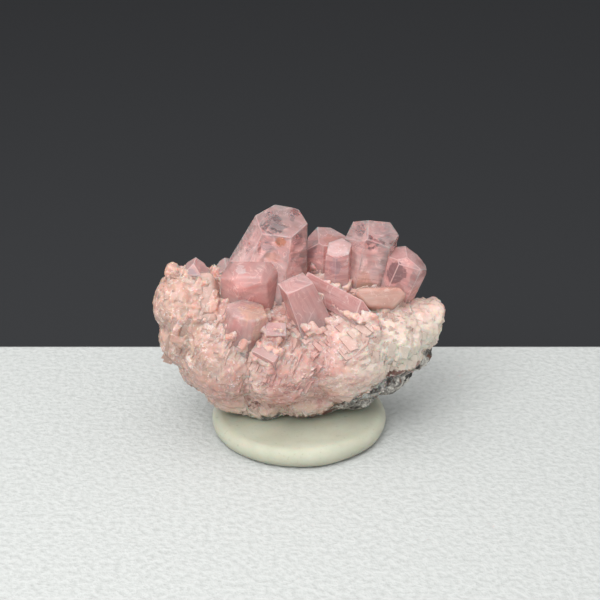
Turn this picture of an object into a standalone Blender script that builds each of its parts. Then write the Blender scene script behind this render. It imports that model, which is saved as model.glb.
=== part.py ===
"""Cobaltoan calcite cluster: pink calcite crystals grown together on a chip of host rock, on a putty pad.

Run with: blender --background --python part.py
Row frame: metres, +Z up, origin at the centre of the pad's underside. The specimen's show side faces -Y, and +X
is to the right of a viewer who looks at it. Lengths are in millimetres, and MM scales them when a mesh is built.

Named objects:
  calcite_crystals  every crystal and the sugary crust they grew from, one fused body
  host_rock         the chip of grey rock under and behind the calcite
  putty_pad         the pressed pad of mineral putty that the specimen stands in
"""

import math
import random
from collections import namedtuple

import bmesh
import bpy
from mathutils import Matrix, Vector, noise

# ---------------------------------------------------------------- driving dimensions, in millimetres
MM = 0.001
SEED = 11

PAD_RADIUS = 7.0
PAD_HEIGHT = 1.6
PAD_EDGE = 0.8  # how far in from the pad's side its soft rim starts
PAD_SEGMENTS = 44
PAD_RIM_STEPS = 7

SEAT_GAP = 0.14  # clearance between touching pieces

# A mass is (voxel, relief, kept): the remesh's voxel, the height of its relief, and the share of faces kept
CRUST_GRAIN = (0.55, 0.5, 0.3)
ROCK_GRAIN = (0.6, 0.6, 0.3)

# Lobes of the crust: centre x, y, z and half-axes along x, y, z. Together they give the inverted-bowl mass.
CRUST_LOBES = [
    (-9.1, -0.1, 10.9, 2.1, 2.8, 2.4),
    (-8.4, -0.6, 8.4, 2.4, 2.6, 2.6),
    (-7.5, -0.9, 6.0, 1.9, 2.2, 1.8),
    (-5.6, -1.2, 7.8, 3.6, 4.0, 4.2),
    (-5.0, -0.6, 4.3, 2.7, 2.6, 2.3),
    (-2.8, -0.5, 3.0, 2.4, 2.3, 1.7),
    (-1.2, -1.2, 7.4, 4.4, 4.4, 4.2),
    (0.4, -0.8, 4.3, 3.4, 2.8, 2.5),
    (4.2, -1.0, 5.5, 3.2, 2.6, 2.3),
    (7.3, -0.4, 7.0, 2.4, 2.4, 2.0),
    (3.2, -0.9, 7.6, 4.4, 4.2, 4.0),
    (6.6, -0.3, 8.6, 3.2, 3.4, 2.7),
    (9.3, 0.4, 8.8, 1.8, 2.2, 1.9),
    (10.5, 0.8, 9.7, 0.9, 1.6, 1.0),
    (1.8, 1.4, 9.6, 5.6, 3.4, 3.0),
    (-4.6, 1.6, 10.0, 4.6, 3.2, 3.0),
]

# Lobes of the host rock: a wedge that underlies the right half and the back.
ROCK_LOBES = [
    (8.7, 0.8, 6.7, 2.0, 2.4, 2.1),
    (6.6, 0.4, 4.9, 2.5, 2.9, 1.9),
    (3.8, 0.3, 3.4, 2.7, 2.9, 1.7),
    (1.0, 0.3, 2.4, 2.8, 2.8, 1.2),
    (-1.6, 2.2, 3.2, 3.4, 2.2, 1.8),
    (-3.2, 2.6, 4.9, 3.6, 2.3, 2.7),
    (1.0, 3.2, 6.2, 6.0, 2.2, 3.7),
    (6.4, 2.6, 7.4, 3.4, 2.3, 3.0),
]

# A crystal is a column of 4 or 6 sides from foot to tip. width is its full width at the tip, depth its depth as a
# share of the width, spread its width at the foot as a share of the width at the tip, and turn its turn about its
# own axis. With no turn a 4-sided column has a side, and a 6-sided one an edge, towards +X. worn rounds its edges
# off. Each end face is (azimuth, lean, out): its normal leans from +Z by lean towards azimuth, and it lies out
# beyond the tip along that normal. Azimuth -90 faces the show side.
Crystal = namedtuple("Crystal", "name sides foot tip width depth spread turn worn ends")
CRYSTALS = [
    Crystal(
        "tall", 6, (-3.4, 0.8, 9.5), (-1.35, 1.4, 17.0), 4.2, 0.9, 2.0, -6, 0,
        [(-78, 20, 0.3), (20, 88, 1.85), (60, 50, 1.75)],
    ),
    Crystal(
        "back_centre", 6, (2.0, 2.2, 9.0), (2.2, 3.1, 15.2), 3.9, 0.8, 1.0, 25, 0,
        [(-20, 17, 0.0), (190, 40, 0.6)],
    ),
    Crystal(
        "centre", 6, (2.8, -0.6, 9.0), (3.05, 0.2, 15.5), 2.1, 0.85, 1.1, 20, 0,
        [(-95, 24, -0.05), (-165, 50, 0.55)],
    ),
    Crystal(
        "right_tall", 6, (4.4, 1.2, 9.0), (5.8, 1.7, 16.7), 4.3, 0.9, 0.95, 12, 0,
        [(-150, 34, 0.5), (-35, 36, 0.05), (90, 30, 0.4)],
    ),
    Crystal(
        "right_leaning", 6, (6.3, 0.9, 8.6), (8.5, 0.6, 14.5), 3.6, 0.9, 0.95, 0, 0,
        [(0, 38, 0.15), (-70, 45, 0.75), (180, 6, 0.4), (0, 88, 1.3)],
    ),
    Crystal(
        "low_slab", 6, (5.9, 1.0, 10.0), (6.2, -1.6, 12.4), 4.1, 0.6, 1.1, 0, 0.25,
        [(-80, 62, 0.3), (90, 20, 0.5)],
    ),
    Crystal(
        "long_ridge", 4, (0.4, -0.5, 12.9), (5.0, -2.9, 11.2), 1.9, 0.7, 0.9, 28, 0,
        [(-75, 70, 0.3), (20, 60, 0.5)],
    ),
    Crystal("front", 4, (1.7, -2.9, 8.6), (-0.3, -3.7, 14.3), 2.2, 0.58, 1.35, 29.5, 0, [(-92, 22, 0.0)]),
    Crystal(
        "left_round", 6, (-3.6, -0.6, 8.6), (-3.8, -1.8, 14.9), 4.4, 0.9, 1.1, 10, 0.45,
        [(-90, 60, 0.9), (-150, 50, 0.9), (-25, 52, 0.9), (-90, 20, 0.05), (90, 30, 0.3), (180, 45, 0.9)],
    ),
    Crystal("front_left", 6, (-4.9, -2.6, 7.0), (-3.8, -4.5, 12.5), 3.3, 0.8, 1.35, -20, 0.1, [(-70, 15, 0.0)]),
    Crystal(
        "left_block", 4, (-7.0, -1.8, 8.6), (-7.7, -1.8, 12.9), 4.4, 0.75, 1.0, -8, 0.35,
        [(-105, 38, 0.5), (-90, 66, 1.3), (-15, 62, 1.5), (170, 50, 1.4)],
    ),
    Crystal(
        "left_roof", 6, (-7.4, 0.4, 9.0), (-8.1, 0.5, 14.1), 2.5, 0.9, 1.3, 0, 0,
        [(-10, 38, 0.0), (180, 34, 0.0), (-90, 35, 0.1)],
    ),
    Crystal(
        "left_knob", 6, (-9.0, 0.2, 10.0), (-9.8, 0.2, 14.1), 1.2, 1.0, 1.8, 0, 0.1,
        [(-20, 25, 0.0), (180, 45, 0.1)],
    ),
    Crystal(
        "back_left", 6, (-4.4, 1.4, 9.0), (-5.7, 1.2, 13.8), 2.4, 0.9, 1.4, 0, 0,
        [(0, 12, 0.0), (190, 38, 0.0)],
    ),
    Crystal("low_front", 4, (-2.0, -3.6, 6.8), (-2.3, -5.5, 9.7), 1.9, 0.8, 1.0, -30, 0, [(-80, 30, 0.0)]),
    Crystal("lilac", 4, (-1.6, -3.0, 9.0), (-1.7, -5.1, 11.2), 1.5, 0.7, 1.0, 0, 0, [(-85, 45, 0.0)]),
    Crystal(
        "rear_tall", 6, (-1.0, 2.2, 9.0), (-1.9, 4.9, 14.2), 3.2, 0.9, 1.1, 8, 0,
        [(60, 38, 0.1), (180, 38, 0.1), (-60, 38, 0.2)],
    ),
    Crystal(
        "rear_right", 6, (5.6, 2.4, 8.6), (6.6, 4.9, 12.8), 2.9, 0.9, 1.1, 20, 0,
        [(40, 38, 0.0), (160, 38, 0.0), (-80, 38, 0.1)],
    ),
    Crystal(
        "rear_left", 6, (-5.6, 2.0, 7.8), (-7.2, 4.4, 11.6), 2.8, 0.9, 1.2, 0, 0,
        [(90, 38, 0.0), (-150, 38, 0.0), (-30, 38, 0.1)],
    ),
]

# Small blocky crystals that stud the crust, in rings round its middle: (degrees above the horizon, how many)
STUD_CENTRE = (-0.4, 0.4, 8.0)
STUD_RINGS = [(-38, 9), (-22, 13), (-6, 15), (10, 15), (26, 12), (42, 8)]
STUD_SIZES = (0.8, 1.5)
STUD_SINK = 0.12  # how far a stud's centre lies under the crust, as a share of its size
FAR = 50  # further out than any piece


def fresh_scene():
    """Removes what is in the scene, so that the script can be run again."""
    for obj in list(bpy.data.objects):
        bpy.data.objects.remove(obj, do_unlink=True)
    for group in list(bpy.data.collections):
        bpy.data.collections.remove(group)


def new_collection(name, shown=True):
    group = bpy.data.collections.new(name)
    bpy.context.scene.collection.children.link(group)
    group.hide_render = not shown
    return group


def object_from(bm, name, group):
    """A new object holding the bmesh, scaled from millimetres to metres."""
    bmesh.ops.scale(bm, vec=(MM, MM, MM), verts=bm.verts)
    bmesh.ops.recalc_face_normals(bm, faces=bm.faces)
    mesh = bpy.data.meshes.new(name)
    bm.to_mesh(mesh)
    bm.free()
    obj = bpy.data.objects.new(name, mesh)
    group.objects.link(obj)
    if group.hide_render:
        obj.hide_render = True
        obj.display_type = "WIRE"
    return obj


def direction(azimuth, lean):
    """The unit vector that leans from +Z by lean towards azimuth, both in degrees."""
    a, b = math.radians(azimuth), math.radians(lean)
    return Vector((math.sin(b) * math.cos(a), math.sin(b) * math.sin(a), math.cos(b)))


def slice_off(bm, point, normal):
    """Cuts away what lies beyond the plane and closes the cut with a flat face."""
    everything = bm.verts[:] + bm.edges[:] + bm.faces[:]
    cut = bmesh.ops.bisect_plane(
        bm, geom=everything, plane_co=point, plane_no=normal, clear_outer=True, dist=1e-5
    )
    edges = [e for e in cut["geom_cut"] if isinstance(e, bmesh.types.BMEdge)]
    if edges:
        bmesh.ops.contextual_create(bm, geom=edges)


def column_frame(foot, tip):
    """The rotation that takes +Z to the column's axis and keeps +X as near to world +X as it can."""
    axis = (tip - foot).normalized()
    side = (Vector((1, 0, 0)) - axis * axis.x).normalized()
    return Matrix((side, axis.cross(side), axis)).transposed()


def crystal_mesh(spec):
    foot, tip = Vector(spec.foot), Vector(spec.tip)
    length = (tip - foot).length
    spare = 0.8 * spec.width  # the column runs past its tip, so that the end faces cut all of it
    radius = spec.width / 2 if spec.sides == 6 else spec.width / math.sqrt(2)
    growth = radius * (1 - spec.spread) / length
    bm = bmesh.new()
    bmesh.ops.create_cone(
        bm,
        cap_ends=True,
        segments=spec.sides,
        radius1=radius * spec.spread,
        radius2=max(0.2, radius + growth * spare),
        depth=length + spare,
        matrix=Matrix.Translation((0, 0, (length + spare) / 2)),
    )
    bmesh.ops.rotate(bm, verts=bm.verts, cent=(0, 0, 0), matrix=Matrix.Rotation(math.pi / spec.sides, 3, "Z"))
    bmesh.ops.scale(bm, verts=bm.verts, vec=(1, spec.depth, 1))
    bmesh.ops.rotate(bm, verts=bm.verts, cent=(0, 0, 0), matrix=Matrix.Rotation(math.radians(spec.turn), 3, "Z"))
    frame = column_frame(foot, tip)
    bmesh.ops.transform(bm, verts=bm.verts, matrix=Matrix.Translation(foot) @ frame.to_4x4())
    for azimuth, lean, out in spec.ends:
        normal = direction(azimuth, lean)
        slice_off(bm, tip + normal * out, normal)
    if spec.worn:
        bmesh.ops.bevel(
            bm, geom=bm.edges[:], offset=spec.worn, segments=2, profile=0.5, affect="EDGES", clamp_overlap=True
        )
    return bm


def lobed_mass(name, lobes, grain, group):
    """Overlapping lobes, remeshed into one skin, roughened and thinned out to flat facets."""
    voxel, relief, kept = grain
    bm = bmesh.new()
    for x, y, z, half_x, half_y, half_z in lobes:
        matrix = Matrix.LocRotScale((x, y, z), None, (half_x, half_y, half_z))
        bmesh.ops.create_icosphere(bm, subdivisions=3, radius=1, matrix=matrix)
    obj = object_from(bm, name, group)
    remesh = obj.modifiers.new("one_skin", "REMESH")
    remesh.mode = "VOXEL"
    remesh.voxel_size = voxel * MM
    bake(obj)
    roughen(obj.data, relief)
    thin = obj.modifiers.new("thin", "DECIMATE")
    thin.ratio = kept
    bake(obj)
    return obj


def bake(obj):
    """Replaces the object's mesh by what its modifiers make of it."""
    bpy.context.view_layer.update()
    graph = bpy.context.evaluated_depsgraph_get()
    mesh = bpy.data.meshes.new_from_object(obj.evaluated_get(graph))
    obj.modifiers.clear()
    obj.data = mesh
    mesh.name = obj.name


def roughen(mesh, relief):
    """Pushes each point along its normal by coarse and fine noise, in steps like cleavage ledges."""
    mesh.update()
    moves = []
    for vertex in mesh.vertices:
        place = vertex.co / MM
        coarse = noise.noise(place * 0.45 + Vector((SEED, 0, 0)))
        fine = noise.noise(place * 1.3 + Vector((0, SEED, 0)))
        cell = noise.cell(place * 0.9)
        moves.append(vertex.normal * relief * MM * (0.9 * coarse + 0.5 * fine + 0.35 * cell))
    for vertex, move in zip(mesh.vertices, moves):
        vertex.co += move


def stud_meshes(crust):
    """Small tilted rhombs in rings round the crust, each more than half sunk in it."""
    random.seed(SEED)
    centre = Vector(STUD_CENTRE)
    for latitude, count in STUD_RINGS:
        for i in range(count):
            azimuth = 360 * (i + random.uniform(-0.3, 0.3)) / count
            outward = direction(azimuth, 90 - latitude - random.uniform(-7, 7))
            found, place, normal, _ = crust.ray_cast((centre + outward * FAR) * MM, -outward)
            if found:
                yield stud_mesh(place / MM, normal, random.uniform(*STUD_SIZES))


def stud_mesh(place, normal, size):
    bm = bmesh.new()
    bmesh.ops.create_cube(bm, size=size)
    shear = Matrix(((1, 0.2, 0), (0, 1, 0.25), (0, 0, 0.8)))
    spin = Matrix.Rotation(random.uniform(0, math.tau), 3, "Z")
    tilt = Matrix.Rotation(random.uniform(-0.8, 0.8), 3, "X")
    stand = normal.to_track_quat("Z", "Y").to_matrix()
    bmesh.ops.transform(bm, verts=bm.verts, matrix=(stand @ tilt @ spin @ shear).to_4x4())
    bmesh.ops.translate(bm, verts=bm.verts, vec=place - normal * size * STUD_SINK)
    return bm


def boolean(obj, name, operation, other, solver="EXACT"):
    """Adds a Boolean with another object, or with every object of a collection.

    MANIFOLD is for the calcite: EXACT loses most of it where so many crystals meet.
    """
    step = obj.modifiers.new(name, "BOOLEAN")
    step.operation = operation
    step.solver = solver
    if isinstance(other, bpy.types.Collection):
        step.operand_type = "COLLECTION"
        step.collection = other
    else:
        step.object = other


def swollen_copy(obj, group):
    """A helper a little larger all round than obj, to cut a seat for it with an even gap."""
    copy = bpy.data.objects.new(f"{obj.name}_seat", obj.data.copy())
    group.objects.link(copy)
    copy.hide_render = True
    copy.display_type = "WIRE"
    mesh = copy.data
    mesh.update()
    moves = [vertex.normal * SEAT_GAP * MM for vertex in mesh.vertices]
    for vertex, move in zip(mesh.vertices, moves):
        vertex.co += move
    return copy


def keep_largest_piece(obj):
    """Drops the crumbs that a cut leaves loose from the main body."""
    bm = bmesh.new()
    bm.from_mesh(obj.data)
    left = set(bm.verts)
    pieces = []
    while left:
        reached = {left.pop()}
        edge_of_piece = set(reached)
        while edge_of_piece:
            touching = {edge.other_vert(vert) for vert in edge_of_piece for edge in vert.link_edges}
            edge_of_piece = touching - reached
            reached |= edge_of_piece
        left -= reached
        pieces.append(reached)
    pieces.sort(key=len)
    crumbs = [vert for piece in pieces[:-1] for vert in piece]
    bmesh.ops.delete(bm, geom=crumbs, context="VERTS")
    bm.to_mesh(obj.data)
    bm.free()


def make_calcite(show, tools, rock):
    """The crust with every stud and crystal fused to it, hollowed where the rock lies."""
    growth = new_collection("growth", shown=False)
    calcite = lobed_mass("calcite_crystals", CRUST_LOBES, CRUST_GRAIN, show)
    for i, bm in enumerate(stud_meshes(calcite)):
        object_from(bm, f"stud_{i}", growth)
    for spec in CRYSTALS:
        object_from(crystal_mesh(spec), spec.name, growth)
    boolean(calcite, "grown_together", "UNION", growth, "MANIFOLD")
    boolean(calcite, "seat_for_rock", "DIFFERENCE", swollen_copy(rock, tools), "MANIFOLD")
    bake(calcite)
    keep_largest_piece(calcite)
    return calcite


def pad_profile():
    """The pad's half section from its underside's centre to its top's centre, with a soft rim."""
    points = [(0, 0), (PAD_RADIUS - PAD_EDGE, 0)]
    middle = PAD_HEIGHT / 2
    for i in range(1, PAD_RIM_STEPS):
        angle = math.pi * (i / PAD_RIM_STEPS - 0.5)
        points.append((PAD_RADIUS - PAD_EDGE + PAD_EDGE * math.cos(angle), middle + middle * math.sin(angle)))
    points.append((PAD_RADIUS - PAD_EDGE, PAD_HEIGHT))
    points.append((0, PAD_HEIGHT))
    return points


def make_pad(show, tools, specimen):
    bm = bmesh.new()
    verts = [bm.verts.new((x, 0, z)) for x, z in pad_profile()]
    for first, second in zip(verts, verts[1:]):
        bm.edges.new((first, second))
    pad = object_from(bm, "putty_pad", show)
    turn = pad.modifiers.new("turned", "SCREW")
    turn.steps = PAD_SEGMENTS
    turn.render_steps = PAD_SEGMENTS
    turn.use_merge_vertices = True
    turn.merge_threshold = 0.00001
    turn.use_normal_calculate = True
    bake(pad)
    for obj in specimen:
        boolean(pad, f"dent_under_{obj.name}", "DIFFERENCE", swollen_copy(obj, tools))
    bake(pad)
    keep_largest_piece(pad)
    return pad


def paint(obj, color, roughness):
    """Gives the object one plain material of its own."""
    material = bpy.data.materials.new(obj.name)
    material.use_nodes = True
    shader = material.node_tree.nodes["Principled BSDF"]
    shader.inputs["Base Color"].default_value = (*color, 1)
    shader.inputs["Roughness"].default_value = roughness
    obj.data.materials.clear()
    obj.data.materials.append(material)


def build():
    fresh_scene()
    show = new_collection("cobaltoan_calcite_cluster")
    tools = new_collection("seats", shown=False)
    rock = lobed_mass("host_rock", ROCK_LOBES, ROCK_GRAIN, show)
    calcite = make_calcite(show, tools, rock)
    pad = make_pad(show, tools, (calcite, rock))
    paint(calcite, (0.86, 0.47, 0.47), 0.2)
    paint(rock, (0.36, 0.33, 0.3), 0.85)
    paint(pad, (0.6, 0.61, 0.5), 0.6)


build()
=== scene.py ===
"""Looks of the cobaltoan calcite cluster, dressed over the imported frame.

The frame's axes are kept: +Z up, the show side faces -Y, the origin is at the centre of the pad's underside.
Lengths are in millimetres, and MM scales them when a mesh is built.
"""

import math
import random
from collections import namedtuple

import bmesh
import bpy
from mathutils import Euler, Matrix, Vector, noise
from mathutils.bvhtree import BVHTree

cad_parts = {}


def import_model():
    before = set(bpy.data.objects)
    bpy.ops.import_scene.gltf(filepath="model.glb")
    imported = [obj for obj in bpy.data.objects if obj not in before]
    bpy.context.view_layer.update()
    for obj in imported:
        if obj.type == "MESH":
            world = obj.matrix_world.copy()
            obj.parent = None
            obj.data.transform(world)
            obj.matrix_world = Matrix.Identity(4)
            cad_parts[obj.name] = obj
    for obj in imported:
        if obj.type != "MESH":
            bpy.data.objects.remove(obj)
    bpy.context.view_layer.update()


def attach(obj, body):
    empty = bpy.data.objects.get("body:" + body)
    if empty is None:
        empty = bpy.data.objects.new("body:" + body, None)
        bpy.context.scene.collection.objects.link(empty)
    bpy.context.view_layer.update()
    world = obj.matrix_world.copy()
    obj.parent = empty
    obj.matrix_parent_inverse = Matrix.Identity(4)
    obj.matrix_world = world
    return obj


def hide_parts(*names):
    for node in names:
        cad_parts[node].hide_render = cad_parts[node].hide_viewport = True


MM = 0.001
SEED = 12

# ---------------- shapes shared with part.py, in millimetres
PAD_RADIUS = 7.0
PAD_HEIGHT = 1.6
PAD_EDGE = 0.8

CRUST_LOBES = [
    (-9.1, -0.1, 10.9, 2.1, 2.8, 2.4),
    (-8.4, -0.6, 8.4, 2.4, 2.6, 2.6),
    (-7.5, -0.9, 6.0, 1.9, 2.2, 1.8),
    (-5.6, -1.2, 7.8, 3.6, 4.0, 4.2),
    (-5.0, -0.6, 4.3, 2.7, 2.6, 2.3),
    (-2.8, -0.5, 3.0, 2.4, 2.3, 1.7),
    (-1.2, -1.2, 7.4, 4.4, 4.4, 4.2),
    (0.4, -0.8, 4.3, 3.4, 2.8, 2.5),
    (4.2, -1.0, 5.5, 3.2, 2.6, 2.3),
    (7.3, -0.4, 7.0, 2.4, 2.4, 2.0),
    (3.2, -0.9, 7.6, 4.4, 4.2, 4.0),
    (6.6, -0.3, 8.6, 3.2, 3.4, 2.7),
    (9.3, 0.4, 8.8, 1.8, 2.2, 1.9),
    (10.5, 0.8, 9.7, 0.9, 1.6, 1.0),
    (1.8, 1.4, 9.6, 5.6, 3.4, 3.0),
    (-4.6, 1.6, 10.0, 4.6, 3.2, 3.0),
]

ROCK_LOBES = [
    (8.7, 0.8, 6.7, 2.0, 2.4, 2.1),
    (6.6, 0.4, 4.9, 2.5, 2.9, 1.9),
    (3.8, 0.3, 3.4, 2.7, 2.9, 1.7),
    (1.0, 0.3, 2.4, 2.8, 2.8, 1.2),
    (-1.6, 2.2, 3.2, 3.4, 2.2, 1.8),
    (-3.2, 2.6, 4.9, 3.6, 2.3, 2.7),
    (1.0, 3.2, 6.2, 6.0, 2.2, 3.7),
    (6.4, 2.6, 7.4, 3.4, 2.3, 3.0),
]

# The columns of part.py's table: 4 or 6 sides from foot to tip, cut by end faces (azimuth, lean, out). look
# names the crystal's finish. Three rows are more worn or cut lower here than there: low_slab, front_left and
# left_block.
Crystal = namedtuple("Crystal", "name look sides foot tip width depth spread turn worn ends")
CRYSTALS = [Crystal(*row) for row in [
    ("tall", "clear", 6, (-3.4, 0.8, 9.5), (-1.35, 1.4, 17.0), 4.2, 0.9, 2.0, -6, 0,
     [(-78, 20, 0.3), (20, 88, 1.85), (60, 50, 1.75)]),
    ("back_centre", "rosy", 6, (2.0, 2.2, 9.0), (2.2, 3.1, 15.2), 3.9, 0.8, 1.0, 25, 0,
     [(-20, 17, 0.0), (190, 40, 0.6)]),
    ("centre", "pale", 6, (2.8, -0.6, 9.0), (3.05, 0.2, 15.5), 2.1, 0.85, 1.1, 20, 0,
     [(-95, 24, -0.05), (-165, 50, 0.55)]),
    ("right_tall", "clear", 6, (4.4, 1.2, 9.0), (5.8, 1.7, 16.7), 4.3, 0.9, 0.95, 12, 0,
     [(-150, 34, 0.5), (-35, 36, 0.05), (90, 30, 0.4)]),
    ("right_leaning", "rosy", 6, (6.3, 0.9, 8.6), (8.5, 0.6, 14.5), 3.6, 0.9, 0.95, 0, 0,
     [(0, 38, 0.15), (-70, 45, 0.75), (180, 6, 0.4), (0, 88, 1.3)]),
    ("low_slab", "peach", 6, (5.9, 1.0, 10.0), (6.2, -1.6, 12.4), 4.1, 0.6, 1.1, 0, 0.34,
     [(-80, 62, 0.3), (90, 20, 0.5)]),
    ("long_ridge", "wine_painted_shade", 4, (0.4, -0.5, 12.9), (5.0, -2.9, 11.2), 1.9, 0.7, 0.9, 28, 0,
     [(-75, 70, 0.3), (20, 60, 0.5)]),
    ("front", "pale", 4, (1.7, -2.9, 8.6), (-0.3, -3.7, 14.3), 2.2, 0.58, 1.35, 29.5, 0, [(-92, 22, 0.0)]),
    ("left_round", "deep", 6, (-3.6, -0.6, 8.6), (-3.8, -1.8, 14.9), 4.4, 0.9, 1.1, 10, 0.45,
     [(-90, 60, 0.9), (-150, 50, 0.9), (-25, 52, 0.9), (-90, 20, 0.05), (90, 30, 0.3), (180, 45, 0.9)]),
    ("front_left", "deep", 6, (-4.9, -2.6, 7.0), (-3.8, -4.5, 12.5), 3.3, 0.8, 1.35, -20, 0.2,
     [(-70, 15, 0.0)]),
    ("left_block", "peach", 4, (-7.0, -1.8, 8.6), (-7.7, -1.8, 12.9), 4.4, 0.75, 1.0, -8, 0.35,
     [(-105, 38, -0.35), (-90, 66, 1.3), (-15, 62, 1.0), (170, 50, 1.4)]),
    ("left_roof", "pale", 6, (-7.4, 0.4, 9.0), (-8.1, 0.5, 14.1), 2.5, 0.9, 1.3, 0, 0,
     [(-10, 38, 0.0), (180, 34, 0.0), (-90, 35, 0.1)]),
    ("left_knob", "crust", 6, (-9.0, 0.2, 10.0), (-9.8, 0.2, 14.1), 1.2, 1.0, 1.8, 0, 0.1,
     [(-20, 25, 0.0), (180, 45, 0.1)]),
    ("back_left", "rosy", 6, (-4.4, 1.4, 9.0), (-5.7, 1.2, 13.8), 2.4, 0.9, 1.4, 0, 0,
     [(0, 12, 0.0), (190, 38, 0.0)]),
    ("low_front", "deep", 4, (-2.0, -3.6, 6.8), (-2.3, -5.5, 9.7), 1.9, 0.8, 1.0, -30, 0, [(-80, 30, 0.0)]),
    ("lilac", "pale", 4, (-1.6, -3.0, 9.0), (-1.7, -5.1, 11.2), 1.5, 0.7, 1.0, 0, 0, [(-85, 45, 0.0)]),
    ("rear_tall", "clear", 6, (-1.0, 2.2, 9.0), (-1.9, 4.9, 14.2), 3.2, 0.9, 1.1, 8, 0,
     [(60, 38, 0.1), (180, 38, 0.1), (-60, 38, 0.2)]),
    ("rear_right", "rosy", 6, (5.6, 2.4, 8.6), (6.6, 4.9, 12.8), 2.9, 0.9, 1.1, 20, 0,
     [(40, 38, 0.0), (160, 38, 0.0), (-80, 38, 0.1)]),
    ("rear_left", "rosy", 6, (-5.6, 2.0, 7.8), (-7.2, 4.4, 11.6), 2.8, 0.9, 1.2, 0, 0,
     [(90, 38, 0.0), (-150, 38, 0.0), (-30, 38, 0.1)]),
]]

# ---------------- looks of the crystals
SPARE = 0.8  # how far a column runs past its tip before its end faces cut it, as a share of its width
LEAST_TIP = 0.2  # radius below which no column narrows
EDGE_WEAR = 0.06  # bevel of a crystal's edges, where its row gives none
ROUNDED = 0.15  # a crystal worn by more than this has round shoulders and no painted edge highlight
EDGE_PAINTED_HIGHLIGHT = 0.14  # how strongly a crystal's bevelled edges are whitened, a painted highlight where edges would catch the light
LINES_AROUND = (0.35, 3.2, 1)  # how often growth lines vary around the column and along it
LINES_ALONG = (3.2, 0.25, 1)
MARK_CELL = 0.4  # size of the flat patches that give the marks their ragged outlines
MARK_CLOUDS = (0.5, 1.2)  # size of the clouds that shift the outlines too, and how far they do
MARK_FADE = [(0.8, 1.0), (1.15, 0.0)]  # its strength by the distance from its middle, as a share of its size
FACET_WARP = (1.5, 0.7)  # size and depth of the waves that bend the facets' outlines, as shares of a facet

HEART_VOXEL = 0.16
HEART_SKIN = 0.12  # least distance of a milky heart from its crystal's faces
HEART_RELIEF = [(1.4, 0.7), (3.1, 0.2)]  # how often it is eaten away, and how deep
HEART_TAPER = 0.45  # how far it draws in towards the crystal's tip, as a share of the crystal's width
HEART_TOPS = (14.3, 15.4)  # heights between which the hearts turn duller, a painted shade on their tops

FLAKE_DEPTH = 0.22  # least distance of a flake from the crystal's faces
FLAKE_THICK = 0.03
FLAKE_SIZE = (0.3, 1.3)
FLAKE_CORNERS = (4, 7)
FLAKE_REACH = (0.55, 1.0)  # how far its corners lie out, as a share of its size
FLAKE_UNEVEN = 0.25  # how far a corner strays along the rim, as a share of the step between corners
FLAKE_NARROW = 0.7  # its width as a share of its length
FLAKE_STRAY = 0.08  # radians by which it may turn from its plane
FLAKE_SHRINK = 0.7  # a corner outside the crystal is drawn in by this share at a time
FLAKE_LEAST = 0.05
FLAKE_LEANS = [(0, 0), (30, 62), (150, 62), (270, 62), (-90, 88), (-30, 88)]  # azimuth and lean of each plane

# how many flakes a crystal of each look holds, and their light and dark tints
FLAKES = {"clear": 34, "pale": 18, "rosy": 20, "deep": 18, "wine_painted_shade": 8, "peach": 16}
FLAKE_TINTS = {
    "pink": ((0.99, 0.82, 0.8), (0.98, 0.72, 0.69)),
    "milk": ((0.99, 0.95, 0.94), (0.98, 0.88, 0.86)),
    "rose": ((0.98, 0.7, 0.66), (0.95, 0.56, 0.52)),
}

# light and dark tints, how clear, absorbed colour and density of each look
LOOKS = {
    "clear": ((0.98, 0.79, 0.77), (0.97, 0.7, 0.68), 0.86, (0.97, 0.66, 0.64), 200),
    "pale": ((0.8, 0.53, 0.51), (0.73, 0.42, 0.4), 0.64, (0.96, 0.6, 0.58), 210),
    "rosy": ((0.98, 0.68, 0.66), (0.96, 0.58, 0.56), 0.76, (0.95, 0.53, 0.51), 230),
    "deep": ((0.87, 0.61, 0.58), (0.83, 0.51, 0.48), 0.72, (0.95, 0.53, 0.5), 230),
    "peach": ((0.64, 0.42, 0.35), (0.6, 0.345, 0.28), 0.45, (0.94, 0.52, 0.42), 220),
    # wine: deep pink, its tints darkened further as painted shade on the long ridge's lit face
    "wine_painted_shade": ((0.55, 0.3, 0.28), (0.48, 0.22, 0.205), 0.4, (0.9, 0.4, 0.38), 600),
}
# how strongly some crystals show pale growth lines, and whether the lines run along the column
PLAIN = (0.06, False)
LINED = {
    "centre": (0.15, False),
    "long_ridge": (0.08, True),
    "right_tall": (0.1, False),
    "left_round": (0.05, False),
    "front_left": (0.06, True),
    "front": (0.06, True),
}
# light and dark tints of the milky hearts, and how far up the column they reach
HEARTS = {
    "clear": ((0.99, 0.86, 0.83), (0.98, 0.76, 0.72), 0.45),
    "rosy": ((0.99, 0.78, 0.74), (0.97, 0.66, 0.62), 0.5),
}
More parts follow.
